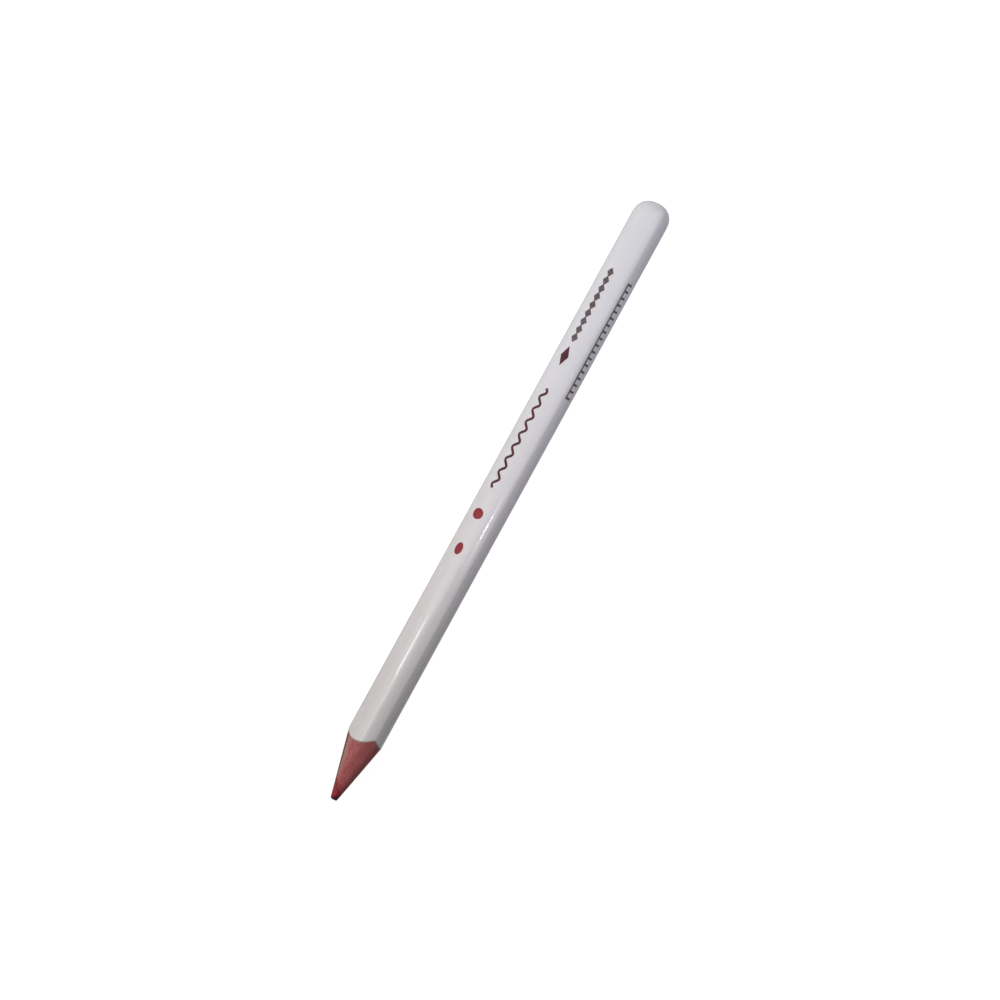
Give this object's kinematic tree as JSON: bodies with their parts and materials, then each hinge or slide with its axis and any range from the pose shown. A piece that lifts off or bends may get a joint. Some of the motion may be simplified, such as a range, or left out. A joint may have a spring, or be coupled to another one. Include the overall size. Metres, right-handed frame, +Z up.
{
  "type": "jumbo pencil",
  "caption": "Sharpened jumbo wooden pencil with a soft triangular white lacquered barrel, stained wood cone, thick red lead, rounded dipped tail and plain foil marks, lying on one face.",
  "frame": {"origin": "under the middle of the pencil, on the surface that its lower face rests on", "axes": "+X along the barrel towards the sharpened point, +Z up through the upper ridge, -Y towards the face with the wave mark"},
  "size_m": [0.175, 0.0098, 0.01],
  "materials": {
    "stained_wood": "reddish stained softwood, cut by the sharpener",
    "stained_wood_dark": "reddish stained softwood, a shade darker",
    "wood_glue": "dried wood glue",
    "red_lead": "waxy red lead with a soft sheen",
    "chalk_undercoat": "matte filler coat",
    "white_lacquer": "gloss white lacquer",
    "white_dip": "gloss white dipped lacquer",
    "red_foil": "hot stamped dark red foil",
    "grey_foil": "hot stamped grey-brown foil"
  },
  "bodies": {
    "root": {"upper_slat": "stained_wood", "lower_slat": "stained_wood_dark", "near_glue_line": "wood_glue", "far_glue_line": "wood_glue", "lead_core": "red_lead", "lead_glue_sleeve": "wood_glue", "undercoat": "chalk_undercoat", "white_lacquer": "white_lacquer", "tail_dip": "white_dip", "diamond_chain": "grey_foil", "lozenge": "red_foil", "wave": "red_foil", "dot": "red_foil", "oval": "red_foil", "measuring_scale": "grey_foil"}
  },
  "joints": []
}
